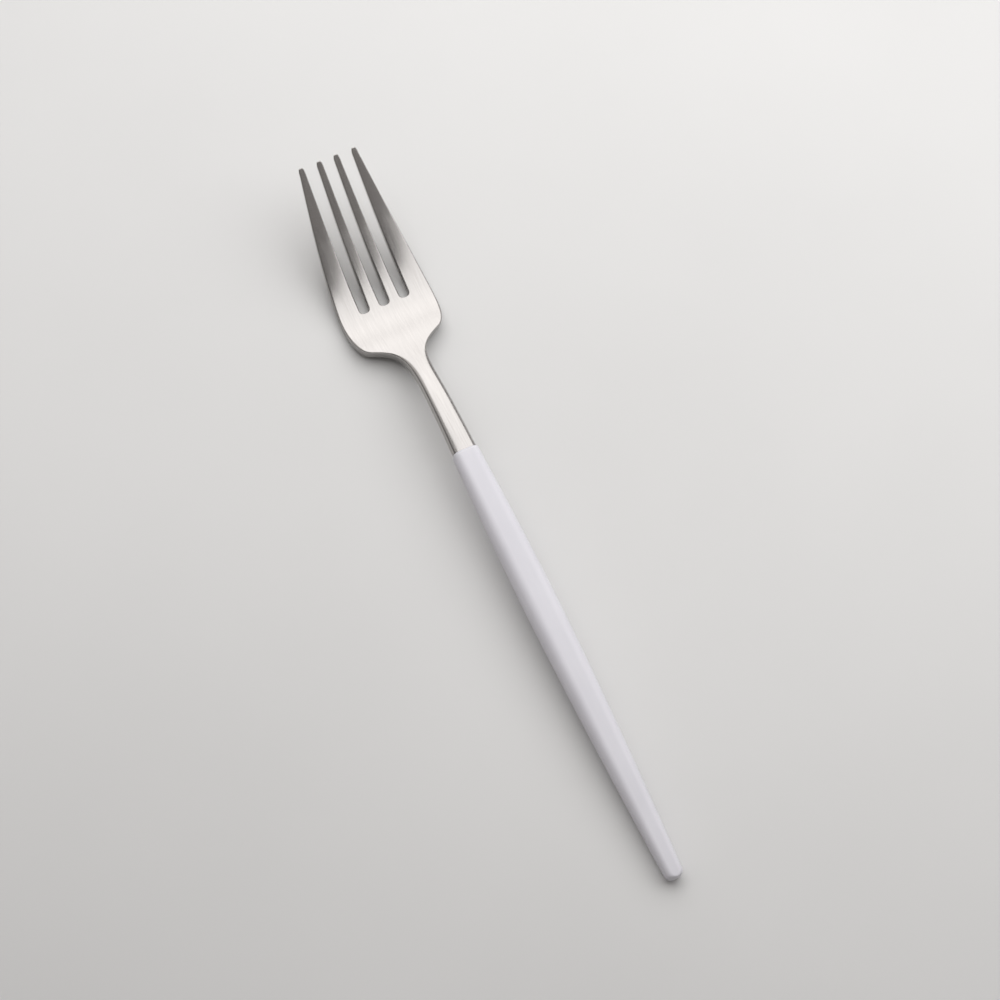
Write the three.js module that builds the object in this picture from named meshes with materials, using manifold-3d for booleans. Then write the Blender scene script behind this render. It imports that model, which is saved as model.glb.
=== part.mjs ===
// Salad fork: a stamped and formed steel head whose tang is glued into a tapered resin handle.
// Sizes are in millimetres. The fork is first drawn on its own axis: Y runs from the butt of the
// handle to the tips of the tines, X to the right, and Z up from the middle of the handle.
// At the end it is laid down as it lies on a table, on the belly of its head and on its handle.

import * as THREE from 'three';
import { mergeVertices } from 'three/addons/utils/BufferGeometryUtils.js';
import Module from 'manifold-3d';

// Handle: a rounded rectangle at the butt, at the fullest place of the grip and at the mouth
const HANDLE_LENGTH = 108.2;
const HANDLE_ARCH = 0.5;
const GRIP_POSITION = 69;
const BUTT_WIDTH = 4.1;
const BUTT_HEIGHT = 4.1;
const BUTT_CORNER = 1.3;
const GRIP_WIDTH = 7.95;
const GRIP_HEIGHT = 6;
const GRIP_CORNER = 2.6;
const MOUTH_WIDTH = 6.3;
const MOUTH_HEIGHT = 5;
const MOUTH_CORNER = 1.85;
const TAPER_POWER = 1.65;
const BUTT_PLAN_ROUNDING = 1.5;
const BUTT_EDGE_ROUNDING = 0.4;
const MOUTH_ROUNDING = 0.7;

// Tang, and the adhesive that fills the socket around it
const TANG_WIDTH = 2.8;
const TANG_THICKNESS = 1.5;
const TANG_LENGTH = 48;
const TANG_ROOT_DEPTH = 3;
const BOND_THICKNESS = 0.4;
const BOND_END_THICKNESS = 1.5;
const BOND_SETBACK = 0.6;
const BOND_CLEARANCE = 0.2;
const SEAT_CLEARANCE = 0.1;

// Neck, shoulders and palm in plan
const NECK_LENGTH = 19;
const NECK_WIDTH = 5.7;
const WAIST_WIDTH = 4.8;
const FLARE_LENGTH = 12.2;
const FLARE_REACH = 8.2;
const SHOULDER_WIDTH = 17.2;
const SHOULDER_SLOPE = THREE.MathUtils.degToRad(26);
const SHOULDER_REACH = 6;
const CORNER_LENGTH = 8.8;
const HEAD_WIDTH = 23.2;
const EDGE_REACH = 8;

// Tines and slots in plan
const SLOT_ROOT_OFFSET = 2.5;
const SLOT_ROOT_WIDTH = 2.2;
const SLOT_PITCH = 5.1;
const TINE_LENGTH = 33;
const TIP_WIDTH = 1.45;
const TIP_TAPER = 0.4;
const TIP_REACH = 1.3;
const INNER_TIP_OFFSET = 2.15;
const OUTER_TIP_OFFSET = 6.7;

// Side view of the head: height of its upper face above the handle's axis, and its thickness
const NECK_TOP = 1.85;
const NECK_THICKNESS = 3.9;
const NECK_MIDDLE_TOP = 1.9;
const NECK_MIDDLE_THICKNESS = 3.8;
const WAIST_TOP = 0.6;
const WAIST_THICKNESS = 3.4;
const SHOULDER_TOP = -3.6;
const SHOULDER_THICKNESS = 3.2;
const PALM_TOP = -6.15;
const PALM_THICKNESS = 2.3;
const TINE_MIDDLE_TOP = -0.95;
const TINE_MIDDLE_THICKNESS = 1.8;
const TIP_TOP = 7.5;
const TIP_THICKNESS = 1.1;

// Eased edges of the steel
const NECK_ROUNDING = 1.3;
const WAIST_ROUNDING = 1;
const PALM_ROUNDING = 0.5;
const TINE_ROUNDING = 0.2;

// Fineness of the curves, the spare length of a cut past what it cuts, and limits of the searches
const CORNER_STEPS = 6;
const HANDLE_STEPS = 24;
const ROUNDING_STEPS = 6;
const EDGE_STEPS = 3;
const OUTLINE_STEPS = 10;
const ROOT_STEPS = 4;
const TINE_STEPS = 12;
const TIP_STEPS = 4;
const READING_STEPS = 60;
const CUT_MARGIN = 2;
const LARGEST_CORNER_SHARE = 0.95;
const LARGEST_TILT = THREE.MathUtils.degToRad(30);
const TILT_HALVINGS = 40;

// Places along Y, from the butt of the handle
const neckAlong = HANDLE_LENGTH + SEAT_CLEARANCE;
const waistAlong = HANDLE_LENGTH + NECK_LENGTH;
const neckMiddleAlong = (neckAlong + waistAlong) / 2;
const shoulderAlong = waistAlong + FLARE_LENGTH;
const widestAlong = shoulderAlong + CORNER_LENGTH;
const slotAlong = widestAlong + SLOT_ROOT_OFFSET;
const tineMiddleAlong = slotAlong + TINE_LENGTH / 2;
const tipAlong = slotAlong + TINE_LENGTH;
const tipHalf = TIP_WIDTH / 2;
const tipCornerAlong = tipAlong - TIP_REACH;
const slotRadius = SLOT_ROOT_WIDTH / 2;
const rootAlong = slotAlong - slotRadius;

// The socket takes the tang, the adhesive around it and a clearance on each side of the adhesive
const socketWall = BOND_THICKNESS + 2 * BOND_CLEARANCE;
const socketWidth = TANG_WIDTH + 2 * socketWall;
const socketHeight = TANG_THICKNESS + 2 * socketWall;
const tangEndAlong = HANDLE_LENGTH - TANG_LENGTH;
const socketEndAlong = tangEndAlong - BOND_END_THICKNESS - 2 * BOND_CLEARANCE;

const wasm = await Module();
wasm.setup();

// A closed body from a geometry; triangles that have shrunk to a line are dropped
function toSolid(geometry) {
  geometry.deleteAttribute('normal');
  geometry.deleteAttribute('uv');
  const merged = mergeVertices(geometry);
  const corners = merged.index.array;
  const faces = [];
  for (let first = 0; first < corners.length; first += 3) {
    const face = corners.slice(first, first + 3);
    if (new Set(face).size === 3) {
      faces.push(...face);
    }
  }
  return new wasm.Manifold(new wasm.Mesh({
    numProp: 3,
    vertProperties: merged.attributes.position.array,
    triVerts: new Uint32Array(faces),
  }));
}

function toGeometry(solid) {
  const mesh = solid.getMesh();
  const geometry = new THREE.BufferGeometry();
  geometry.setAttribute('position', new THREE.BufferAttribute(mesh.vertProperties, 3));
  geometry.setIndex(new THREE.BufferAttribute(mesh.triVerts, 1));
  geometry.computeVertexNormals();
  return geometry;
}

// A block centred on the handle's axis, between two places along it
function axialBlock(width, height, start, end) {
  const block = new THREE.BoxGeometry(width, end - start, height);
  block.translate(0, (start + end) / 2, 0);
  return toSolid(block);
}

// A plate drawn in plan and extruded between two heights
function plate(shape, low, high) {
  const geometry = new THREE.ExtrudeGeometry(shape, {
    depth: high - low,
    curveSegments: OUTLINE_STEPS,
    bevelEnabled: false,
  });
  geometry.translate(0, 0, low);
  return toSolid(geometry);
}

// The rounded corners of a section across the fork: top right, top left, bottom left, bottom right
function sectionCorners(along, [left, right], [bottom, top], [leftRadius, rightRadius], steps) {
  return [0, 1, 2, 3].map((quarter) => {
    const onRight = quarter === 0 || quarter === 3;
    const radius = onRight ? rightRadius : leftRadius;
    const x = onRight ? right - radius : left + radius;
    const z = quarter < 2 ? top - radius : bottom + radius;
    const points = [];
    for (let step = 0; step <= steps; step += 1) {
      const angle = (quarter + step / steps) * Math.PI / 2;
      points.push(new THREE.Vector3(x + radius * Math.cos(angle), along, z + radius * Math.sin(angle)));
    }
    return points;
  });
}

// Triangles of a skin over rings of equal counts that follow each other along Y
function skin(rings) {
  const triangles = [];
  for (let row = 1; row < rings.length; row += 1) {
    const behind = rings[row - 1];
    const ahead = rings[row];
    for (let step = 0; step < ahead.length; step += 1) {
      const next = (step + 1) % ahead.length;
      triangles.push(behind[step], ahead[step], ahead[next]);
      triangles.push(behind[step], ahead[next], behind[next]);
    }
  }
  return triangles;
}

// Triangles of a flat end that closes a ring, facing along Y or back
function endCap(ring, facesAlong) {
  const centre = new THREE.Vector3();
  ring.forEach((point) => centre.addScaledVector(point, 1 / ring.length));
  return ring.flatMap((point, step) => {
    const next = ring[(step + 1) % ring.length];
    return facesAlong ? [centre, next, point] : [centre, point, next];
  });
}

function fromTriangles(triangles) {
  return toSolid(new THREE.BufferGeometry().setFromPoints(triangles));
}

// Size of the handle's section at a place along it, swelling from both ends to the grip
function swell(along, butt, grip, mouth) {
  const behind = along < GRIP_POSITION;
  const end = behind ? butt : mouth;
  const reach = behind ? GRIP_POSITION : HANDLE_LENGTH - GRIP_POSITION;
  const share = Math.abs(along - GRIP_POSITION) / reach;
  return grip + (end - grip) * share ** TAPER_POWER;
}

// Rise of the handle's middle line above the straight line between its ends
function arch(along) {
  return HANDLE_ARCH * (1 - (2 * along / HANDLE_LENGTH - 1) ** 2);
}

// How far a quarter-round edge draws a face in, at a distance from the end that it rounds
function roundingInset(distance, radius) {
  const short = Math.max(radius - distance, 0);
  return radius - Math.sqrt(radius ** 2 - short ** 2);
}

// One rounded-rectangle section of the handle
function handleSection(along) {
  const mouthInset = roundingInset(HANDLE_LENGTH - along, MOUTH_ROUNDING);
  const planInset = roundingInset(along, BUTT_PLAN_ROUNDING) + mouthInset;
  const edgeInset = roundingInset(along, BUTT_EDGE_ROUNDING) + mouthInset;
  const halfWidth = swell(along, BUTT_WIDTH, GRIP_WIDTH, MOUTH_WIDTH) / 2 - planInset;
  const halfHeight = swell(along, BUTT_HEIGHT, GRIP_HEIGHT, MOUTH_HEIGHT) / 2 - edgeInset;
  const corner = Math.min(
    swell(along, BUTT_CORNER, GRIP_CORNER, MOUTH_CORNER),
    LARGEST_CORNER_SHARE * halfWidth,
    LARGEST_CORNER_SHARE * halfHeight,
  );
  const middle = arch(along);
  return sectionCorners(
    along,
    [-halfWidth, halfWidth],
    [middle - halfHeight, middle + halfHeight],
    [corner, corner],
    CORNER_STEPS,
  ).flat();
}

// Handle: lofted sections with a round butt and an eased mouth, bored by the blind socket
function makeHandle() {
  const rings = [];
  for (let step = 0; step < ROUNDING_STEPS; step += 1) {
    const angle = step / ROUNDING_STEPS * Math.PI / 2;
    rings.push(handleSection(BUTT_PLAN_ROUNDING * (1 - Math.cos(angle))));
  }
  const bodyLength = HANDLE_LENGTH - MOUTH_ROUNDING - BUTT_PLAN_ROUNDING;
  for (let step = 0; step < HANDLE_STEPS; step += 1) {
    rings.push(handleSection(BUTT_PLAN_ROUNDING + bodyLength * step / HANDLE_STEPS));
  }
  for (let step = ROUNDING_STEPS; step >= 0; step -= 1) {
    const angle = step / ROUNDING_STEPS * Math.PI / 2;
    rings.push(handleSection(HANDLE_LENGTH - MOUTH_ROUNDING * (1 - Math.cos(angle))));
  }
  const socket = axialBlock(socketWidth, socketHeight, socketEndAlong, HANDLE_LENGTH + CUT_MARGIN);
  const ends = [...endCap(rings[0], false), ...endCap(rings[rings.length - 1], true)];
  return fromTriangles([...skin(rings), ...ends]).subtract(socket);
}

// Plan outline of the tang with its round end, grown all round by a clearance
function tangOutline(grow) {
  const half = TANG_WIDTH / 2;
  const root = neckAlong + TANG_ROOT_DEPTH;
  const shape = new THREE.Shape();
  shape.moveTo(half + grow, root);
  shape.lineTo(-half - grow, root);
  shape.lineTo(-half - grow, tangEndAlong + half);
  shape.absarc(0, tangEndAlong + half, half + grow, Math.PI, 2 * Math.PI);
  return shape;
}

// The tang, grown all round by a clearance
function makeTang(grow) {
  const half = TANG_THICKNESS / 2 + grow;
  return plate(tangOutline(grow), -half, half);
}

// Adhesive: fills the socket around the tang
function makeBond() {
  const width = TANG_WIDTH + 2 * (BOND_CLEARANCE + BOND_THICKNESS);
  const height = TANG_THICKNESS + 2 * (BOND_CLEARANCE + BOND_THICKNESS);
  const start = socketEndAlong + BOND_CLEARANCE;
  const filling = axialBlock(width, height, start, HANDLE_LENGTH - BOND_SETBACK);
  return filling.subtract(makeTang(BOND_CLEARANCE));
}

// Right edge of the head in plan: the neck, the flare, the shoulder's corner, and the side of a tine
const slope = new THREE.Vector2(Math.cos(SHOULDER_SLOPE), Math.sin(SHOULDER_SLOPE));
const neckEdge = new THREE.Vector2(NECK_WIDTH / 2, neckAlong);
const waistEdge = new THREE.Vector2(WAIST_WIDTH / 2, waistAlong);
const shoulderEdge = new THREE.Vector2(SHOULDER_WIDTH / 2, shoulderAlong);
const widestEdge = new THREE.Vector2(HEAD_WIDTH / 2, widestAlong);
const tipEdge = new THREE.Vector2(OUTER_TIP_OFFSET + tipHalf, tipCornerAlong);
const cornerRise = (widestEdge.x - shoulderEdge.x) * slope.y / slope.x;
const palmCurves = [
  new THREE.LineCurve(neckEdge, waistEdge),
  new THREE.CubicBezierCurve(
    waistEdge,
    new THREE.Vector2(waistEdge.x, waistAlong + FLARE_REACH),
    shoulderEdge.clone().addScaledVector(slope, -SHOULDER_REACH),
    shoulderEdge,
  ),
  new THREE.QuadraticBezierCurve(
    shoulderEdge,
    new THREE.Vector2(widestEdge.x, shoulderAlong + cornerRise),
    widestEdge,
  ),
];
const sideCurve = new THREE.QuadraticBezierCurve(
  widestEdge,
  new THREE.Vector2(widestEdge.x, widestAlong + EDGE_REACH),
  tipEdge,
);
const edgePoints = [...palmCurves, sideCurve].flatMap((curve) => (
  curve.getPoints(READING_STEPS).map((point) => new THREE.Vector2(point.y, point.x))
));

// Side view of the head: the upper face, and the same face lowered by the thickness
const stations = [
  [neckAlong, NECK_TOP, NECK_THICKNESS],
  [neckMiddleAlong, NECK_MIDDLE_TOP, NECK_MIDDLE_THICKNESS],
  [waistAlong, WAIST_TOP, WAIST_THICKNESS],
  [shoulderAlong, SHOULDER_TOP, SHOULDER_THICKNESS],
  [slotAlong, PALM_TOP, PALM_THICKNESS],
  [tineMiddleAlong, TINE_MIDDLE_TOP, TINE_MIDDLE_THICKNESS],
  [tipAlong, TIP_TOP, TIP_THICKNESS],
];
const upperStations = stations.map(([along, top]) => new THREE.Vector2(along, top));
const lowerStations = stations.map(([along, top, thickness]) => new THREE.Vector2(along, top - thickness));
const upperPoints = new THREE.SplineCurve(upperStations).getPoints(READING_STEPS * stations.length);
const lowerPoints = new THREE.SplineCurve(lowerStations).getPoints(READING_STEPS * stations.length);
const roundingPoints = [
  new THREE.Vector2(neckAlong, NECK_ROUNDING),
  new THREE.Vector2(neckMiddleAlong, NECK_ROUNDING),
  new THREE.Vector2(waistAlong, WAIST_ROUNDING),
  new THREE.Vector2(shoulderAlong, PALM_ROUNDING),
  new THREE.Vector2(slotAlong, PALM_ROUNDING),
  new THREE.Vector2(tineMiddleAlong, TINE_ROUNDING),
  new THREE.Vector2(tipAlong, TINE_ROUNDING),
];

// Value of a curve at a place along the fork, read between its close points
function readAt(points, along) {
  const last = points.length - 1;
  let next = 1;
  while (next < last && points[next].x < along) {
    next += 1;
  }
  const before = points[next - 1];
  const after = points[next];
  return THREE.MathUtils.mapLinear(along, before.x, after.x, before.y, after.y);
}

// Rounded corners of the steel between two edges; an edge is eased by a share of the full rounding,
// and the upper and lower edges of a tip's end are eased like the sides of the tine
function headSection(along, left, right, leftEase, rightEase) {
  const tipInset = roundingInset(tipAlong - along, TINE_ROUNDING);
  const top = readAt(upperPoints, along) - tipInset;
  const bottom = readAt(lowerPoints, along) + tipInset;
  const rounding = readAt(roundingPoints, along);
  const largest = LARGEST_CORNER_SHARE * Math.min(right - left, top - bottom) / 2;
  const radii = [leftEase, rightEase].map((ease) => Math.min(ease * rounding, largest));
  return sectionCorners(along, [left, right], [bottom, top], radii, EDGE_STEPS);
}

// A ring round the neck or the palm, with a point on each face for each slot that starts ahead of it
function palmRing(along) {
  const half = readAt(edgePoints, along);
  const rootHalf = readAt(edgePoints, rootAlong);
  const [topRight, topLeft, bottomLeft, bottomRight] = headSection(along, -half, half, 1, 1);
  const seams = [SLOT_PITCH, 0, -SLOT_PITCH].map((offset) => offset * half / rootHalf);
  const onTop = seams.map((x) => new THREE.Vector3(x, along, topLeft[0].z));
  const onBottom = seams.map((x) => new THREE.Vector3(x, along, bottomRight[0].z)).reverse();
  return [...topRight, ...onTop, ...topLeft, ...bottomLeft, ...onBottom, ...bottomRight];
}

// Rings of a tine on the right side, from the round root of its slots to its tip
function tineRings(leftSlot, rightSlot, tipOffset, isOuter) {
  const rows = [];
  for (let step = 0; step <= ROOT_STEPS; step += 1) {
    const angle = step / ROOT_STEPS * Math.PI / 2;
    rows.push([slotAlong - slotRadius * Math.cos(angle), Math.sin(angle), 0]);
  }
  for (let step = 1; step <= TINE_STEPS; step += 1) {
    const share = step / TINE_STEPS;
    rows.push([THREE.MathUtils.lerp(slotAlong, tipCornerAlong, share), 1, share]);
  }
  const rings = rows.map(([along, opening, share]) => {
    const left = THREE.MathUtils.lerp(leftSlot + slotRadius * opening, tipOffset - tipHalf, share);
    const right = THREE.MathUtils.lerp(rightSlot - slotRadius * opening, tipOffset + tipHalf, share);
    const section = isOuter
      ? headSection(along, left, readAt(edgePoints, along), opening, 1)
      : headSection(along, left, right, opening, opening);
    return section.flat();
  });
  for (let step = 1; step <= TIP_STEPS; step += 1) {
    const angle = step / TIP_STEPS * Math.PI / 2;
    const half = tipHalf - TIP_TAPER * (1 - Math.cos(angle));
    const along = tipAlong - TIP_REACH * (1 - Math.sin(angle));
    rings.push(headSection(along, tipOffset - half, tipOffset + half, 1, 1).flat());
  }
  return rings;
}

// Steel head: the neck and palm part at the slot roots into two tines and their mirror images
function makeHead() {
  const levels = palmCurves.flatMap((curve) => curve.getPoints(OUTLINE_STEPS).slice(0, -1));
  const places = [...levels.map((point) => point.y), widestAlong, rootAlong];
  const palm = places.map(palmRing);
  const rightTines = [
    tineRings(0, SLOT_PITCH, INNER_TIP_OFFSET, false),
    tineRings(SLOT_PITCH, HEAD_WIDTH / 2, OUTER_TIP_OFFSET, true),
  ];
  const leftTines = rightTines.map((rings) => rings.map((ring) => (
    ring.map((point) => new THREE.Vector3(-point.x, point.y, point.z)).reverse()
  )));
  const triangles = [...endCap(palm[0], false), ...skin(palm)];
  [...rightTines, ...leftTines].forEach((rings) => {
    triangles.push(...skin(rings), ...endCap(rings[rings.length - 1], true));
  });
  return fromTriangles(triangles).add(makeTang(0));
}

// Height of a body's lowest point when the fork is tilted
function lowest(geometry, tilt) {
  const position = geometry.attributes.position;
  let low = Infinity;
  for (let index = 0; index < position.count; index += 1) {
    const height = position.getY(index) * Math.sin(tilt) + position.getZ(index) * Math.cos(tilt);
    low = Math.min(low, height);
  }
  return low;
}

// The tilt at which the head and the handle touch one table, found by halving the range that holds it
function restTilt(head, handle) {
  let least = -LARGEST_TILT;
  let most = LARGEST_TILT;
  for (let halving = 0; halving < TILT_HALVINGS; halving += 1) {
    const tilt = (least + most) / 2;
    if (lowest(head, tilt) < lowest(handle, tilt)) {
      least = tilt;
    } else {
      most = tilt;
    }
  }
  return (least + most) / 2;
}

function namedMesh(name, geometry, colour, roughness, metalness) {
  const material = new THREE.MeshStandardMaterial({ color: colour, roughness, metalness });
  const mesh = new THREE.Mesh(geometry, material);
  mesh.name = name;
  return mesh;
}

const head = toGeometry(makeHead());
const handle = toGeometry(makeHandle());
const bond = toGeometry(makeBond());

// The fork on its own axis, turned to the tilt at which it rests
const axis = new THREE.Group();
axis.add(namedMesh('fork_head', head, 0xcdc9c4, 0.32, 1));
axis.add(namedMesh('handle', handle, 0xdddbe3, 0.5, 0));
axis.add(namedMesh('epoxy_bond', bond, 0xd8cda6, 0.4, 0));
axis.rotation.x = restTilt(head, handle);

// The table is at height zero, and the middle of the fork's length is above the origin
const fork = new THREE.Group();
fork.add(axis);
const box = new THREE.Box3().setFromObject(fork, true);
axis.position.set(0, -(box.min.y + box.max.y) / 2, -box.min.z);

export default fork;
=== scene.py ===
# Salad fork with a satin steel head and a pale resin handle, lying on a pale board.
# Sizes are in millimetres on the fork's own axis: Y from the butt of the handle to the tips of the
# tines, X to the right, Z up from the middle of the handle. The finished meshes are laid down at the
# angle at which the fork rests, in metres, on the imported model.
import math

import bpy
import numpy as np
from mathutils import Matrix, Vector


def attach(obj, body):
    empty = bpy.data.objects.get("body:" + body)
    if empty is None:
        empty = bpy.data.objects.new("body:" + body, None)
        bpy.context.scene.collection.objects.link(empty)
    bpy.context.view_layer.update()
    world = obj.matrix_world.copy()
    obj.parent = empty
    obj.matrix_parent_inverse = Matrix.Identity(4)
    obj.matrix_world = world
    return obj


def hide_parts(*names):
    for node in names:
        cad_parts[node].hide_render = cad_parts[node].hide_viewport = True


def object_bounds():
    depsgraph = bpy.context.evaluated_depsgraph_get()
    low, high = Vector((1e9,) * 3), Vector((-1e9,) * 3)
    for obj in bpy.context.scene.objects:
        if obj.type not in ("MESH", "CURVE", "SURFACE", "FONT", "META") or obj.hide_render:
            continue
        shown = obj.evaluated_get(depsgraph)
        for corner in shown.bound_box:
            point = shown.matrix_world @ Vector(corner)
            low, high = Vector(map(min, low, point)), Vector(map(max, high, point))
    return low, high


MILLIMETRE = 0.001

# Handle
HANDLE_LENGTH = 108.2
HANDLE_ARCH = 0.5
GRIP_POSITION = 69
BUTT_WIDTH = 4.1
BUTT_HEIGHT = 4.1
BUTT_CORNER = 1.3
GRIP_WIDTH = 7.95
GRIP_HEIGHT = 6
GRIP_CORNER = 2.6
MOUTH_WIDTH = 6.3
MOUTH_HEIGHT = 5
MOUTH_CORNER = 1.85
TAPER_POWER = 1.65
BUTT_PLAN_ROUNDING = 1.5
BUTT_EDGE_ROUNDING = 0.4
MOUTH_ROUNDING = 0.7
LARGEST_CORNER_SHARE = 0.95

# Tang, and the socket that leaves space round it for the adhesive
TANG_WIDTH = 2.8
TANG_THICKNESS = 1.5
TANG_LENGTH = 48
TANG_CORNER = 0.1
TANG_END = HANDLE_LENGTH - TANG_LENGTH
BOND_SPACE = 0.8
BOND_END_SPACE = 1.9
SOCKET_WIDTH = TANG_WIDTH + 2 * BOND_SPACE
SOCKET_HEIGHT = TANG_THICKNESS + 2 * BOND_SPACE
SOCKET_CORNER = 0.1
SOCKET_END = TANG_END - BOND_END_SPACE

# Head in plan
NECK_LENGTH = 19
NECK_WIDTH = 5.7
WAIST_WIDTH = 4.8
FLARE_LENGTH = 12.2
FLARE_REACH = 8.2
SHOULDER_WIDTH = 17.2
SHOULDER_SLOPE = math.radians(26)
SHOULDER_REACH = 6
CORNER_LENGTH = 8.8
HEAD_WIDTH = 23.2
EDGE_REACH = 8
SLOT_ROOT_OFFSET = 2.5
SLOT_RADIUS = 1.1
SLOT_PITCH = 5.1
TINE_LENGTH = 33
TIP_WIDTH = 1.45
TIP_TAPER = 0.4
TIP_REACH = 1.3
INNER_TIP_OFFSET = 2.15
OUTER_TIP_OFFSET = 6.7

# Places along the head, which starts where the handle ends
NECK_ALONG = HANDLE_LENGTH
NECK_MIDDLE_ALONG = NECK_ALONG + NECK_LENGTH / 2
WAIST_ALONG = NECK_ALONG + NECK_LENGTH
SHOULDER_ALONG = WAIST_ALONG + FLARE_LENGTH
WIDEST_ALONG = SHOULDER_ALONG + CORNER_LENGTH
SLOT_ALONG = WIDEST_ALONG + SLOT_ROOT_OFFSET
ROOT_ALONG = SLOT_ALONG - SLOT_RADIUS
TINE_MIDDLE_ALONG = SLOT_ALONG + TINE_LENGTH / 2
TIP_ALONG = SLOT_ALONG + TINE_LENGTH
TIP_CORNER_ALONG = TIP_ALONG - TIP_REACH

# Head in side view: place along, height of the upper face, thickness
HEAD_STATIONS = (
    (NECK_ALONG, 1.85, 3.9),
    (NECK_MIDDLE_ALONG, 1.9, 3.8),
    (WAIST_ALONG, 0.6, 3.4),
    (SHOULDER_ALONG, -3.6, 3.2),
    (SLOT_ALONG, -6.15, 2.3),
    (TINE_MIDDLE_ALONG, -0.95, 1.8),
    (TIP_ALONG, 7.5, 1.1),
)

# Depth of the steel's eased edges, and how far in they reach over the neck's faces
NECK_ROUNDING = 1.3
WAIST_ROUNDING = 1
PALM_ROUNDING = 0.5
TINE_ROUNDING = 0.2
NECK_EASE = 2.2
WAIST_EASE = 1.6

# Crown of each tine's upper face, and the length over which it grows from the slots' roots
CROWN_RADIUS = 27
CROWN_GROWTH = 9

# Fineness of the meshes: steps along and round them, shares that divide the flat faces, the decimals by
# which points are told apart, and the least angle that stays sharp
CORNER_STEPS = 10
HANDLE_STEPS = 120
ROUNDING_STEPS = 10
EDGE_STEPS = 6
OUTLINE_STEPS = 30
ROOT_STEPS = 12
TINE_STEPS = 70
TIP_STEPS = 10
TANG_STEPS = 8
READING_STEPS = 60
ACROSS = (0.03, 0.2, 0.4, 0.6, 0.8, 0.97)
TANG_SHARES = (1, 0.5, 0, -0.5, -1)
POINT_DECIMALS = 5
SHARP_ANGLE = math.radians(40)

# How the fork leans at rest, and the camera at the photograph's angle, whose near limit is in metres
REST_TILT = math.radians(2.548478)
CAMERA_TARGET = (2.38476, 2.71634, 6.04341)
CAMERA_AZIMUTH = math.radians(-37.49025)
CAMERA_ELEVATION = math.radians(69.60886)
CAMERA_ROLL = math.radians(12.32466)
CAMERA_DISTANCE = 700
PIXELS_PER_MILLIMETRE = 4.40768
IMAGE_PIXELS = 1000
SENSOR_WIDTH = 36
CAMERA_NEAR_LIMIT = 0.01

# Lamps, in metres on axes that are turned from the fork's: the panel by its near edge and its shift
# sideways, and the wing by its middle
LAMP_TURN = math.radians(-30)
LAMP_HEIGHT = 0.4
PANEL_EDGE = -0.024
PANEL_SHIFT = 0.27
PANEL_SIZE = (1.2, 0.93)
PANEL_RADIANCE = 1.79
WING_MIDDLE = (-0.55, 0.1)
WING_SIZE = (0.44, 0.6)
WING_RADIANCE = 0.42

# Studio: its brightness at shares of the way from the camera's side to the far side, its tint, and the
# limits of a direction's Y and Z between which the share and the brightness rise
STUDIO_STOPS = (
    (0, 0.05),
    (0.1, 0.25),
    (0.17, 0.36),
    (0.26, 0.18),
    (0.36, 0.1),
    (0.6, 0.24),
    (0.85, 0.5),
)
STUDIO_TINT = (1, 0.95, 0.925)
STUDIO_SPAN = (-1, 1)
STUDIO_RISE = (0.05, 0.45)

# Half the floor's width, and where the backdrop takes over: on the floor in metres from the middle, and
# in the studio as a direction's Z, downwards
FLOOR_REACH = 3
BACKDROP_RISE = (0.18, 0.4)
HORIZON_FALL = (0.12, 0.02)

# Colours, from the darkest to the palest patch of each material, and ranges of roughness
STEEL_COLOURS = ((0.402, 0.386, 0.375), (0.444, 0.428, 0.416))
STEEL_ROUGHNESS = (0.21, 0.27)
RESIN_COLOURS = ((0.705, 0.695, 0.74), (0.745, 0.735, 0.78))
RESIN_ROUGHNESS = (0.42, 0.52)
RESIN_SPECULAR = 0.4
EPOXY_COLOURS = ((0.62, 0.53, 0.3), (0.76, 0.68, 0.45))
EPOXY_ROUGHNESS = (0.25, 0.45)
BOARD_COLOURS = ((0.69, 0.687, 0.681), (0.72, 0.717, 0.711))
BOARD_ROUGHNESS = 0.9
BOARD_SPECULAR = 0.2
BACKDROP_COLOUR = BOARD_COLOURS[1]

# Grain of each material: features in a metre along X, Y and Z, octaves, the strength of the bumps and
# their depth in metres. Between its low and high limits a noise runs from one colour to the other.
BRUSH_SCALE = (3200, 150, 200)
BRUSH_DETAIL = 3
BRUSH_STRENGTH = 0.06
BRUSH_DEPTH = 0.00002
MOTTLE_SCALE = (160, 60, 160)
MOTTLE_DETAIL = 4
GRAIN_SCALE = (2600, 2600, 2600)
GRAIN_DETAIL = 3
GRAIN_STRENGTH = 0.15
GRAIN_DEPTH = 0.00002
CLOUD_SCALE = (700, 300, 700)
CLOUD_DETAIL = 5
CLOUD_STRENGTH = 0.1
CLOUD_DEPTH = 0.00005
PATCH_SCALE = (9, 9, 9)
PATCH_DETAIL = 4
NOISE_LOW = 0.3
NOISE_HIGH = 0.7


def catmull_rom(stations, steps):
    """Close points of a curve through the stations, with doubled end points."""
    points = np.array(stations, float)
    padded = np.vstack([points[:1], points, points[-1:]])
    close = []
    for index in range(len(points) - 1):
        before, start, end, after = padded[index:index + 4]
        leave = (end - before) / 2
        arrive = (after - start) / 2
        for share in np.arange(steps) / steps:
            cubic = (2 * start - 2 * end + leave + arrive) * share ** 3
            square = (-3 * start + 3 * end - 2 * leave - arrive) * share ** 2
            close.append(cubic + square + leave * share + start)
    close.append(points[-1])
    return np.array(close)


def bezier(controls, steps):
    """Points of a curve of any degree from its control points."""
    level = [np.outer(np.ones(steps + 1), point) for point in np.array(controls, float)]
    share = np.linspace(0, 1, steps + 1)[:, None]
    while len(level) > 1:
        level = [(1 - share) * first + share * second for first, second in zip(level, level[1:])]
    return level[0]


def reader(points):
    """A function that gives a curve's second value at a place along the fork."""
    return lambda along: float(np.interp(along, points[:, 0], points[:, 1]))


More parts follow.
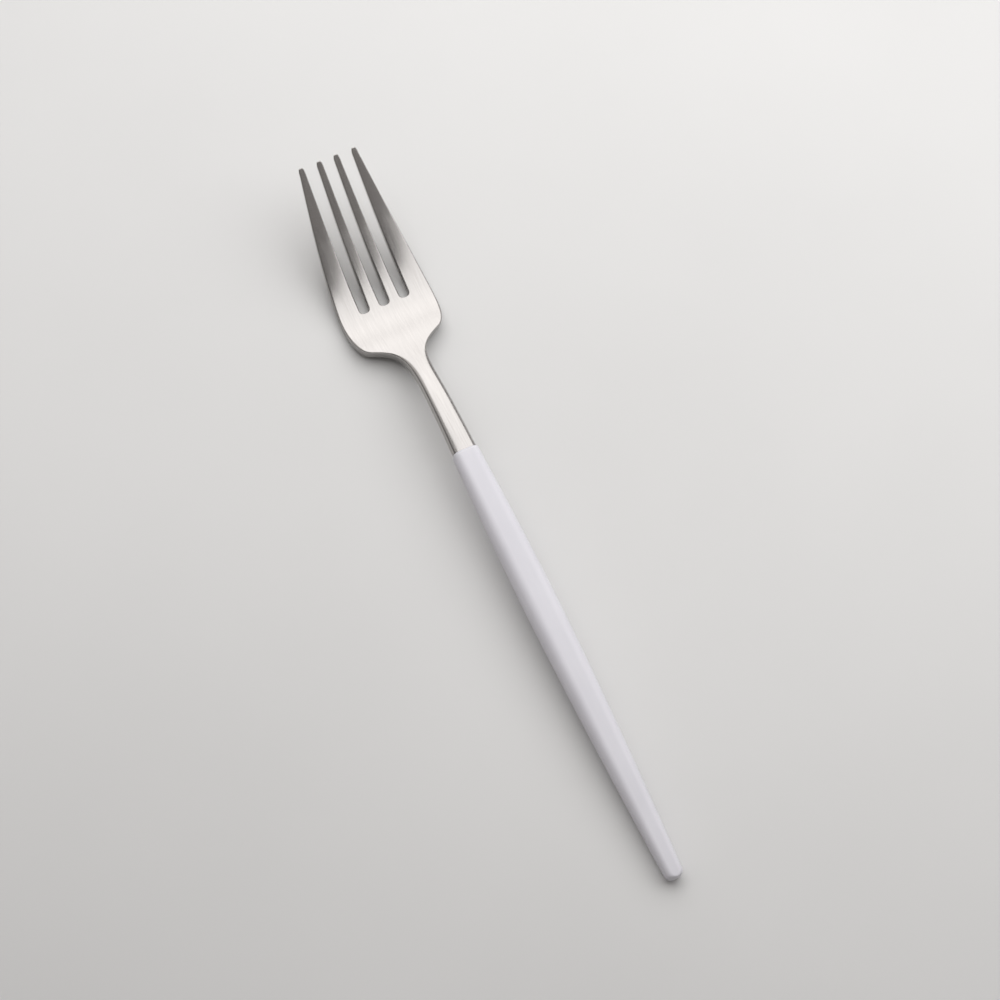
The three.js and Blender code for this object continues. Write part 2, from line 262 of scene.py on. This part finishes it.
def corner_arc(quarter, centre_x, centre_z, reach, radius, steps):
    """One rounded corner of a section; the quarters run from the top right round by the left."""
    arc = []
    for step in range(steps + 1):
        angle = (quarter + step / steps) * math.pi / 2
        arc.append((centre_x + reach * math.cos(angle), centre_z + radius * math.sin(angle)))
    return arc


def section(along, edges, faces, radii, steps, bounds=None):
    """A closed ring across the fork. Bounds are the places where the flat faces are divided."""
    left, right = edges
    bottom, top = faces
    left_radius, right_radius = radii
    if bounds is None:
        bounds = (right - right_radius, left + left_radius)
    right_start = bounds[0]
    left_start = bounds[-1]
    right_reach = right - right_start
    left_reach = left_start - left
    flat = []
    for first, second in zip(bounds, bounds[1:]):
        flat.extend(first + share * (second - first) for share in (0, *ACROSS))
    flat = flat[1:]
    ring = corner_arc(0, right_start, top - right_radius, right_reach, right_radius, steps)
    ring += [(x, top) for x in flat]
    ring += corner_arc(1, left_start, top - left_radius, left_reach, left_radius, steps)
    ring += corner_arc(2, left_start, bottom + left_radius, left_reach, left_radius, steps)
    ring += [(x, bottom) for x in reversed(flat)]
    ring += corner_arc(3, right_start, bottom + right_radius, right_reach, right_radius, steps)
    return [(x, along, z) for x, z in ring]


def skin(rings):
    """Quads over rings of equal counts, each face a tuple of points."""
    faces = []
    for behind, ahead in zip(rings, rings[1:]):
        count = len(ahead)
        for step in range(count):
            after = (step + 1) % count
            faces.append((behind[step], ahead[step], ahead[after], behind[after]))
    return faces


def end_cap(ring, faces_along):
    """A flat end that closes a ring."""
    return [tuple(reversed(ring)) if faces_along else tuple(ring)]


def make_piece(name, faces, node):
    """A smooth mesh from faces on the fork's own axis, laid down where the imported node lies."""
    places = {}
    corners = []
    for face in faces:
        indices = []
        for point in face:
            key = tuple(round(value, POINT_DECIMALS) for value in point)
            index = places.setdefault(key, len(places))
            if index not in indices:
                indices.append(index)
        if len(indices) > 2:
            corners.append(indices)
    mesh = bpy.data.meshes.new(name)
    mesh.from_pydata([[value * MILLIMETRE for value in key] for key in places], [], corners)
    mesh.validate()
    mesh.transform(Matrix.Rotation(REST_TILT, 4, "X"))
    mesh.shade_smooth()
    mesh.set_sharp_from_angle(angle=SHARP_ANGLE)
    piece = bpy.data.objects.new(name, mesh)
    bpy.context.scene.collection.objects.link(piece)
    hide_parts(node)
    return piece


def lay_into(pieces, box):
    """Shifts meshes into their joint box, and scales away the last hundredth of a millimetre."""
    points = np.array([vertex.co for piece in pieces for vertex in piece.data.vertices])
    low = points.min(0)
    scale = [(box[1][axis] - box[0][axis]) / size for axis, size in enumerate(points.max(0) - low)]
    fit = Matrix.Translation(box[0]) @ Matrix.Diagonal((*scale, 1)) @ Matrix.Translation(-Vector(low))
    for piece in pieces:
        piece.data.transform(fit)


def swell(along, butt, grip, mouth):
    """Size of the handle's section, swelling from both ends to the grip."""
    behind = along < GRIP_POSITION
    end = butt if behind else mouth
    reach = GRIP_POSITION if behind else HANDLE_LENGTH - GRIP_POSITION
    share = abs(along - GRIP_POSITION) / reach
    return grip + (end - grip) * share ** TAPER_POWER


def rounding_inset(distance, radius):
    """How far a quarter-round edge draws a face in, at a distance from the end that it rounds."""
    short = max(radius - distance, 0)
    return radius - math.sqrt(radius ** 2 - short ** 2)


def handle_section(along):
    """A ring round the handle, drawn in at its rounded ends and raised by its arch."""
    mouth_inset = rounding_inset(HANDLE_LENGTH - along, MOUTH_ROUNDING)
    half_width = swell(along, BUTT_WIDTH, GRIP_WIDTH, MOUTH_WIDTH) / 2
    half_width -= rounding_inset(along, BUTT_PLAN_ROUNDING) + mouth_inset
    half_height = swell(along, BUTT_HEIGHT, GRIP_HEIGHT, MOUTH_HEIGHT) / 2
    half_height -= rounding_inset(along, BUTT_EDGE_ROUNDING) + mouth_inset
    corner = min(
        swell(along, BUTT_CORNER, GRIP_CORNER, MOUTH_CORNER),
        LARGEST_CORNER_SHARE * half_width,
        LARGEST_CORNER_SHARE * half_height,
    )
    middle = HANDLE_ARCH * (1 - (2 * along / HANDLE_LENGTH - 1) ** 2)
    return section(
        along,
        (-half_width, half_width),
        (middle - half_height, middle + half_height),
        (corner, corner),
        CORNER_STEPS,
    )


def socket_section(along):
    """A ring round the inside of the socket."""
    return section(
        along,
        (-SOCKET_WIDTH / 2, SOCKET_WIDTH / 2),
        (-SOCKET_HEIGHT / 2, SOCKET_HEIGHT / 2),
        (SOCKET_CORNER, SOCKET_CORNER),
        CORNER_STEPS,
    )


def handle_faces():
    """The handle's skin, turned in at the mouth to line the blind socket."""
    quarter = [math.pi / 2 * step / ROUNDING_STEPS for step in range(ROUNDING_STEPS)]
    places = [BUTT_PLAN_ROUNDING * (1 - math.cos(angle)) for angle in quarter]
    places += list(np.linspace(BUTT_PLAN_ROUNDING, HANDLE_LENGTH - MOUTH_ROUNDING, HANDLE_STEPS + 1))
    places += [HANDLE_LENGTH - MOUTH_ROUNDING * (1 - math.cos(angle)) for angle in reversed(quarter)]
    rings = [handle_section(along) for along in places]
    rings += [socket_section(HANDLE_LENGTH), socket_section(SOCKET_END)]
    return end_cap(rings[0], False) + skin(rings) + end_cap(rings[-1], True)


def plan_curves():
    """Right edge of the head: neck, flare, shoulder's corner, and the side of the outer tine."""
    slope = np.array([math.cos(SHOULDER_SLOPE), math.sin(SHOULDER_SLOPE)])
    neck = np.array([NECK_WIDTH / 2, NECK_ALONG])
    waist = np.array([WAIST_WIDTH / 2, WAIST_ALONG])
    shoulder = np.array([SHOULDER_WIDTH / 2, SHOULDER_ALONG])
    widest = np.array([HEAD_WIDTH / 2, WIDEST_ALONG])
    tip = np.array([OUTER_TIP_OFFSET + TIP_WIDTH / 2, TIP_CORNER_ALONG])
    corner_rise = (widest[0] - shoulder[0]) * slope[1] / slope[0]
    return (
        (neck, waist),
        (waist, waist + (0, FLARE_REACH), shoulder - SHOULDER_REACH * slope, shoulder),
        (shoulder, (widest[0], shoulder[1] + corner_rise), widest),
        (widest, widest + (0, EDGE_REACH), tip),
    )


# The head's half width, faces and eased edges at any place along it
PLAN = plan_curves()
TOPS = [(along, top) for along, top, _ in HEAD_STATIONS]
BOTTOMS = [(along, top - thickness) for along, top, thickness in HEAD_STATIONS]
edge_at = reader(np.vstack([bezier(curve, READING_STEPS)[:, ::-1] for curve in PLAN]))
top_at = reader(catmull_rom(TOPS, READING_STEPS))
bottom_at = reader(catmull_rom(BOTTOMS, READING_STEPS))
rounding_at = reader(np.array([
    (NECK_ALONG, NECK_ROUNDING),
    (NECK_MIDDLE_ALONG, NECK_ROUNDING),
    (WAIST_ALONG, WAIST_ROUNDING),
    (SHOULDER_ALONG, PALM_ROUNDING),
    (SLOT_ALONG, PALM_ROUNDING),
    (TINE_MIDDLE_ALONG, TINE_ROUNDING),
    (TIP_ALONG, TINE_ROUNDING),
]))
ease_at = reader(np.array([
    (NECK_ALONG, NECK_EASE),
    (NECK_MIDDLE_ALONG, NECK_EASE),
    (WAIST_ALONG, WAIST_EASE),
    (SHOULDER_ALONG, PALM_ROUNDING),
    (SLOT_ALONG, PALM_ROUNDING),
]))


def palm_section(along):
    """A ring round the neck or palm, divided where the slots start further ahead."""
    half = edge_at(along)
    radius = rounding_at(along)
    flat = half - ease_at(along)
    inner = flat * SLOT_PITCH / (edge_at(ROOT_ALONG) - PALM_ROUNDING)
    bounds = (flat, inner, 0, -inner, -flat)
    faces = (bottom_at(along), top_at(along))
    return section(along, (-half, half), faces, (radius, radius), EDGE_STEPS, bounds)


def tang_section(along, half_width):
    """A ring round the tang with as many points as a ring round the neck."""
    edges = (-half_width, half_width)
    faces = (-TANG_THICKNESS / 2, TANG_THICKNESS / 2)
    radii = (TANG_CORNER, TANG_CORNER)
    bounds = [(half_width - TANG_CORNER) * share for share in TANG_SHARES]
    return section(along, edges, faces, radii, EDGE_STEPS, bounds)


def crowned(ring, middle, along):
    """Lowers the upper face of a tine towards its edges, more fully further from the slots' roots."""
    share = min((along - ROOT_ALONG) / CROWN_GROWTH, 1)
    growth = share * share * (3 - 2 * share)
    level = (top_at(along) + bottom_at(along)) / 2
    return [
        (x, y, z - growth * (x - middle) ** 2 / (2 * CROWN_RADIUS) if z > level else z)
        for x, y, z in ring
    ]


def tine_section(along, left, right, left_ease, right_ease):
    """A ring round a tine, with shares of the full easing at its left and right edges."""
    tip_inset = rounding_inset(TIP_ALONG - along, TINE_ROUNDING)
    bottom = bottom_at(along) + tip_inset
    top = top_at(along) - tip_inset
    rounding = rounding_at(along)
    largest = LARGEST_CORNER_SHARE * min(right - left, top - bottom) / 2
    radii = [min(ease * rounding, largest) for ease in (left_ease, right_ease)]
    ring = section(along, (left, right), (bottom, top), radii, EDGE_STEPS)
    return crowned(ring, (left + right) / 2, along)


def tine_rings(left_slot, right_slot, tip, is_outer):
    """Rings of a tine on the right side, from the round root of its slots to its tip."""
    rows = []
    for step in range(ROOT_STEPS + 1):
        angle = step / ROOT_STEPS * math.pi / 2
        rows.append((SLOT_ALONG - SLOT_RADIUS * math.cos(angle), math.sin(angle), 0))
    for step in range(1, TINE_STEPS + 1):
        share = step / TINE_STEPS
        rows.append((SLOT_ALONG + share * (TIP_CORNER_ALONG - SLOT_ALONG), 1, share))
    rings = []
    for along, opening, share in rows:
        root_left = left_slot + SLOT_RADIUS * opening
        root_right = right_slot - SLOT_RADIUS * opening
        left = root_left + share * (tip - TIP_WIDTH / 2 - root_left)
        right = edge_at(along) if is_outer else root_right + share * (tip + TIP_WIDTH / 2 - root_right)
        rings.append(tine_section(along, left, right, opening, 1 if is_outer else opening))
    for step in range(1, TIP_STEPS + 1):
        angle = step / TIP_STEPS * math.pi / 2
        half = TIP_WIDTH / 2 - TIP_TAPER * (1 - math.cos(angle))
        along = TIP_ALONG - TIP_REACH * (1 - math.sin(angle))
        rings.append(tine_section(along, tip - half, tip + half, 1, 1))
    return rings


def head_faces():
    """The head's skin: round the tang, out over the neck's end, along the palm and each tine."""
    half_tang = TANG_WIDTH / 2
    rings = []
    for step in range(1, TANG_STEPS + 1):
        angle = step / TANG_STEPS * math.pi / 2
        along = TANG_END + half_tang * (1 - math.cos(angle))
        rings.append(tang_section(along, half_tang * math.sin(angle)))
    rings.append(tang_section(NECK_ALONG, half_tang))
    for curve in PLAN[:-1]:
        rings += [palm_section(along) for along in bezier(curve, OUTLINE_STEPS)[:-1, 1]]
    rings += [palm_section(WIDEST_ALONG), palm_section(ROOT_ALONG)]
    faces = end_cap(rings[0], False) + skin(rings)
    for tine in (
        tine_rings(0, SLOT_PITCH, INNER_TIP_OFFSET, False),
        tine_rings(SLOT_PITCH, HEAD_WIDTH / 2, OUTER_TIP_OFFSET, True),
    ):
        right = skin(tine) + end_cap(tine[-1], True)
        faces += right
        faces += [tuple((-x, y, z) for x, y, z in reversed(face)) for face in right]
    return faces


def node_tree(name):
    """A new material with its shader and the place of each point on the object."""
    material = bpy.data.materials.new(name)
    material.use_nodes = True
    nodes = material.node_tree.nodes
    shader = nodes["Principled BSDF"]
    place = nodes.new("ShaderNodeTexCoord").outputs["Object"]
    return material, shader, place


def noise(material, place, scale, detail):
    """Noise of a size for each direction, as the number of features in a metre."""
    nodes = material.node_tree.nodes
    links = material.node_tree.links
    mapping = nodes.new("ShaderNodeMapping")
    mapping.inputs["Scale"].default_value = scale
    links.new(place, mapping.inputs["Vector"])
    texture = nodes.new("ShaderNodeTexNoise")
    texture.inputs["Scale"].default_value = 1
    texture.inputs["Detail"].default_value = detail
    links.new(mapping.outputs["Vector"], texture.inputs["Vector"])
    return texture.outputs["Fac"]


def blend(material, factor, colours, shader):
    """Carries a noise into the base colour as a blend of two colours."""
    node = material.node_tree.nodes.new("ShaderNodeValToRGB")
    for element, position, colour in zip(node.color_ramp.elements, (NOISE_LOW, NOISE_HIGH), colours):
        element.position = position
        element.color = (*colour, 1)
    material.node_tree.links.new(factor, node.inputs["Fac"])
    material.node_tree.links.new(node.outputs["Color"], shader.inputs["Base Color"])


def roughen(material, factor, limits, shader):
    """Carries a noise, from 0 to 1, into the roughness as a value between two limits."""
    node = material.node_tree.nodes.new("ShaderNodeMapRange")
    node.inputs["To Min"].default_value, node.inputs["To Max"].default_value = limits
    material.node_tree.links.new(factor, node.inputs["Value"])
    material.node_tree.links.new(node.outputs["Result"], shader.inputs["Roughness"])


def bump(material, factor, strength, distance, shader):
    """Carries a noise into the surface as small bumps."""
    node = material.node_tree.nodes.new("ShaderNodeBump")
    node.inputs["Strength"].default_value = strength
    node.inputs["Distance"].default_value = distance
    material.node_tree.links.new(factor, node.inputs["Height"])
    material.node_tree.links.new(node.outputs["Normal"], shader.inputs["Normal"])


def steel():
    """Satin stainless steel, brushed along the fork."""
    material, shader, place = node_tree("satin_steel")
    shader.inputs["Metallic"].default_value = 1
    brush = noise(material, place, BRUSH_SCALE, BRUSH_DETAIL)
    blend(material, brush, STEEL_COLOURS, shader)
    roughen(material, brush, STEEL_ROUGHNESS, shader)
    bump(material, brush, BRUSH_STRENGTH, BRUSH_DEPTH, shader)
    return material


def resin():
    """Matte moulded resin of a very pale lilac, with a faint mottle and a fine grain."""
    material, shader, place = node_tree("pale_resin")
    shader.inputs["Specular IOR Level"].default_value = RESIN_SPECULAR
    mottle = noise(material, place, MOTTLE_SCALE, MOTTLE_DETAIL)
    blend(material, mottle, RESIN_COLOURS, shader)
    roughen(material, mottle, RESIN_ROUGHNESS, shader)
    grain = noise(material, place, GRAIN_SCALE, GRAIN_DETAIL)
    bump(material, grain, GRAIN_STRENGTH, GRAIN_DEPTH, shader)
    return material


def epoxy():
    """Cured adhesive, pale amber and a little cloudy."""
    material, shader, place = node_tree("cured_epoxy")
    cloud = noise(material, place, CLOUD_SCALE, CLOUD_DETAIL)
    blend(material, cloud, EPOXY_COLOURS, shader)
    roughen(material, cloud, EPOXY_ROUGHNESS, shader)
    bump(material, cloud, CLOUD_STRENGTH, CLOUD_DEPTH, shader)
    return material


def rise(tree, value, limits, kind):
    """A share that rises from 0 to 1 as a value goes from one limit to the other."""
    node = tree.nodes.new("ShaderNodeMapRange")
    node.interpolation_type = kind
    node.inputs["From Min"].default_value, node.inputs["From Max"].default_value = limits
    tree.links.new(value, node.inputs["Value"])
    return node.outputs["Result"]


def calculate(tree, operation, first, second):
    """The result of an operation on two values."""
    node = tree.nodes.new("ShaderNodeMath")
    node.operation = operation
    tree.links.new(first, node.inputs[0])
    tree.links.new(second, node.inputs[1])
    return node.outputs["Value"]


def show_backdrop(tree, share, kind, shader, output):
    """Blends a shader into the plain backdrop, for rays that show it and not for those that light."""
    rays = tree.nodes.new("ShaderNodeLightPath").outputs
    shown = calculate(tree, "MAXIMUM", rays["Is Camera Ray"], rays["Is Glossy Ray"])
    shown = calculate(tree, "MAXIMUM", shown, rays["Is Transmission Ray"])
    plain = tree.nodes.new(kind)
    plain.inputs["Color"].default_value = (*BACKDROP_COLOUR, 1)
    mix = tree.nodes.new("ShaderNodeMixShader")
    tree.links.new(calculate(tree, "MULTIPLY", shown, share), mix.inputs["Fac"])
    tree.links.new(shader.outputs[0], mix.inputs[1])
    tree.links.new(plain.outputs[0], mix.inputs[2])
    tree.links.new(mix.outputs["Shader"], output.inputs["Surface"])


def board():
    """The pale board that the fork lies on, which turns into the backdrop far from the fork."""
    material, shader, place = node_tree("pale_board")
    patch = noise(material, place, PATCH_SCALE, PATCH_DETAIL)
    blend(material, patch, BOARD_COLOURS, shader)
    shader.inputs["Roughness"].default_value = BOARD_ROUGHNESS
    shader.inputs["Specular IOR Level"].default_value = BOARD_SPECULAR
    tree = material.node_tree
    reach = tree.nodes.new("ShaderNodeVectorMath")
    reach.operation = "LENGTH"
    tree.links.new(place, reach.inputs[0])
    far = rise(tree, reach.outputs["Value"], BACKDROP_RISE, "SMOOTHSTEP")
    show_backdrop(tree, far, "ShaderNodeEmission", shader, tree.nodes["Material Output"])
    return material


def camera_axes():
    """Right, up and back of the camera, from its direction and its roll."""
    back = Vector((
        math.sin(CAMERA_AZIMUTH) * math.cos(CAMERA_ELEVATION),
        -math.cos(CAMERA_AZIMUTH) * math.cos(CAMERA_ELEVATION),
        math.sin(CAMERA_ELEVATION),
    ))
    level = Vector((math.cos(CAMERA_AZIMUTH), math.sin(CAMERA_AZIMUTH), 0))
    right = Matrix.Rotation(CAMERA_ROLL, 3, back) @ level
    return right, back.cross(right), back


def make_camera():
    """The camera that sees the fork as the photograph does."""
    right, up, back = camera_axes()
    data = bpy.data.cameras.new("camera")
    data.sensor_width = SENSOR_WIDTH
    data.lens = SENSOR_WIDTH * PIXELS_PER_MILLIMETRE * CAMERA_DISTANCE / IMAGE_PIXELS
    data.clip_start = CAMERA_NEAR_LIMIT
    camera = bpy.data.objects.new("camera", data)
    place = Matrix((right, up, back)).transposed().to_4x4()
    place.translation = (Vector(CAMERA_TARGET) + CAMERA_DISTANCE * back) * MILLIMETRE
    camera.matrix_world = place
    bpy.context.scene.collection.objects.link(camera)
    bpy.context.scene.camera = camera


def make_lamp(name, size, radiance, place):
    """A soft lamp of an even brightness."""
    data = bpy.data.lights.new(name, "AREA")
    data.shape = "RECTANGLE"
    data.size, data.size_y = size
    data.energy = radiance * math.pi * size[0] * size[1]
    lamp = bpy.data.objects.new(name, data)
    lamp.matrix_world = place
    bpy.context.scene.collection.objects.link(lamp)


def make_lamps():
    """A wide panel whose near edge hangs over the fork, and a dim wing beside it on the left."""
    turn = Matrix.Rotation(LAMP_TURN, 4, "Z")
    panel_shift = Matrix.Translation((PANEL_SHIFT, PANEL_EDGE + PANEL_SIZE[1] / 2, LAMP_HEIGHT))
    make_lamp("panel", PANEL_SIZE, PANEL_RADIANCE, turn @ panel_shift)
    wing_shift = Matrix.Translation((*WING_MIDDLE, LAMP_HEIGHT))
    make_lamp("wing", WING_SIZE, WING_RADIANCE, turn @ wing_shift)


def make_world():
    """A dim studio that is darker low down, and paler behind the panel than on the camera's side."""
    world = bpy.data.worlds.new("studio")
    world.use_nodes = True
    tree = world.node_tree
    background = tree.nodes["Background"]
    heading = tree.nodes.new("ShaderNodeTexCoord").outputs["Generated"]
    direction = tree.nodes.new("ShaderNodeSeparateXYZ")
    tree.links.new(heading, direction.inputs["Vector"])
    height = direction.outputs["Z"]
    walls = tree.nodes.new("ShaderNodeValToRGB")
    elements = walls.color_ramp.elements
    # New stops start in the middle, and each then takes its own position
    while len(elements) < len(STUDIO_STOPS):
        elements.new(position=0.5)
    for element, (position, level) in zip(elements, STUDIO_STOPS):
        element.position = position
        element.color = (*(level * tint for tint in STUDIO_TINT), 1)
    tree.links.new(rise(tree, direction.outputs["Y"], STUDIO_SPAN, "LINEAR"), walls.inputs["Fac"])
    tree.links.new(walls.outputs["Color"], background.inputs["Color"])
    tree.links.new(rise(tree, height, STUDIO_RISE, "LINEAR"), background.inputs["Strength"])
    low = rise(tree, height, HORIZON_FALL, "SMOOTHSTEP")
    show_backdrop(tree, low, "ShaderNodeBackground", background, tree.nodes["World Output"])
    bpy.context.scene.world = world


def make_floor():
    """A wide flat board under the fork."""
    mesh = bpy.data.meshes.new("floor")
    corners = [(FLOOR_REACH * x, FLOOR_REACH * y, 0) for x, y in ((-1, -1), (1, -1), (1, 1), (-1, 1))]
    mesh.from_pydata(corners, [], [(0, 1, 2, 3)])
    mesh.materials.append(board())
    floor = bpy.data.objects.new("floor", mesh)
    bpy.context.scene.collection.objects.link(floor)


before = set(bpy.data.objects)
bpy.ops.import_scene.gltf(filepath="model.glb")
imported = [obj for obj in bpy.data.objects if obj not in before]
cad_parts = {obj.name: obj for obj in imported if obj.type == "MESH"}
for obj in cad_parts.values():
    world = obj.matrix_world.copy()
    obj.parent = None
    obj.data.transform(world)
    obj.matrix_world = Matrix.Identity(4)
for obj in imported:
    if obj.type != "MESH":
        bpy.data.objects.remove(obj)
cad_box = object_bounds()

handle = make_piece("resin_handle", handle_faces(), "handle")
head = make_piece("steel_head", head_faces(), "fork_head")
lay_into((handle, head), cad_box)
for piece in (handle, head):
    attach(piece, "root")
handle.data.materials.append(resin())
head.data.materials.append(steel())
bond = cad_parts["epoxy_bond"]
bond.data.materials.clear()
bond.data.materials.append(epoxy())

make_floor()
make_world()
make_lamps()
make_camera()
bpy.context.scene.view_settings.view_transform = "Standard"
